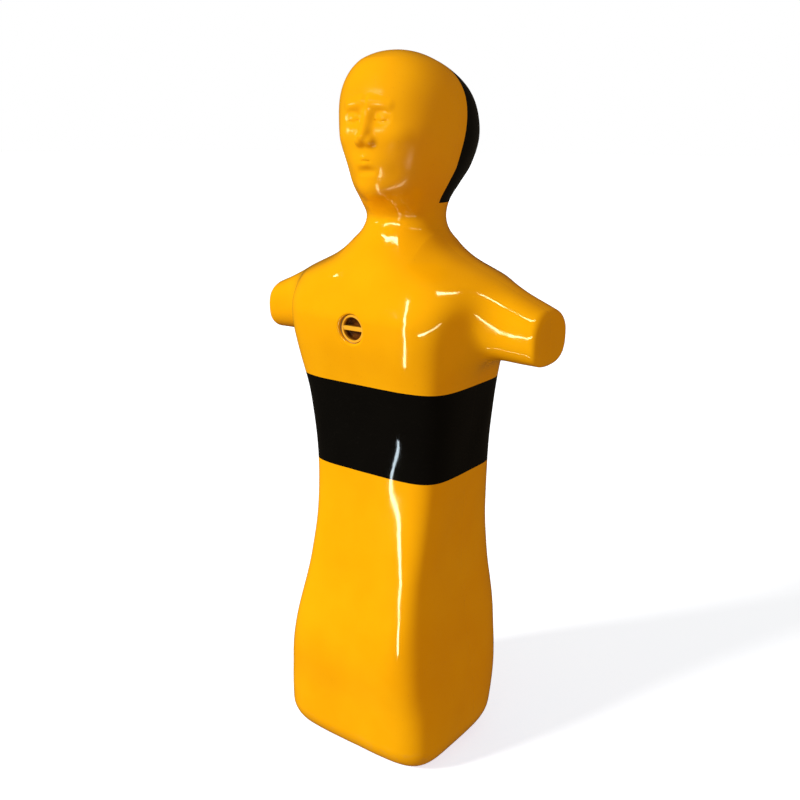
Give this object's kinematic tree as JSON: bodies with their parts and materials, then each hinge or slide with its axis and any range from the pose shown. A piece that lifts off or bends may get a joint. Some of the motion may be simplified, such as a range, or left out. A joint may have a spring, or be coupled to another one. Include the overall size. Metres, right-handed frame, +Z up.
{
  "type": "torso training mannequin",
  "caption": "Hollow moulded head-and-torso mannequin with arm stubs, a black waist band and head patch, and a recessed screw plug in the chest for filling it.",
  "frame": {"origin": "on the floor under the middle of the figure, on the flat of the base", "axes": "+Z up from the base to the crown, the chest and face look along -Y, and the figure's own left arm points along +X"},
  "size_m": [0.466, 0.2597, 0.998],
  "materials": {
    "amber_gelcoat": "thick polished amber-yellow gelcoat with slow waves left by hand moulding",
    "black_film": "glossy black film under clear coat",
    "glass_laminate": "rough resin-wetted glass tape",
    "bonding_paste": "smeared filler paste",
    "amber_plastic": "moulded nylon with a soft sheen",
    "black_rubber": "dull flat washer"
  },
  "bodies": {
    "shell": {"front_shell": "amber_gelcoat", "back_shell": "amber_gelcoat", "waist_band": "black_film", "head_patch": "black_film", "lower_left_tape": "glass_laminate", "lower_right_tape": "glass_laminate", "upper_left_tape": "glass_laminate", "upper_right_tape": "glass_laminate", "fill_bush": "amber_plastic", "bush_bond": "bonding_paste"},
    "seal": {"plug_seal": "black_rubber"},
    "plug": {"fill_plug": "amber_plastic"}
  },
  "joints": [
    {"name": "plug_travel", "type": "slide", "parent": "shell", "child": "seal", "axis": [0, -0.9986, -0.0523], "range_m": [0, 0.024]},
    {"name": "plug_turn", "type": "hinge", "parent": "seal", "child": "plug", "pos_m": [0, -0.1025, 0.641], "axis": [0, -0.9986, -0.0523], "range_deg": [0, 2160]}
  ],
  "couplings": [
    {"joint": "plug_travel", "follows": "plug_turn", "m_per_rad": 0.00063662}
  ]
}
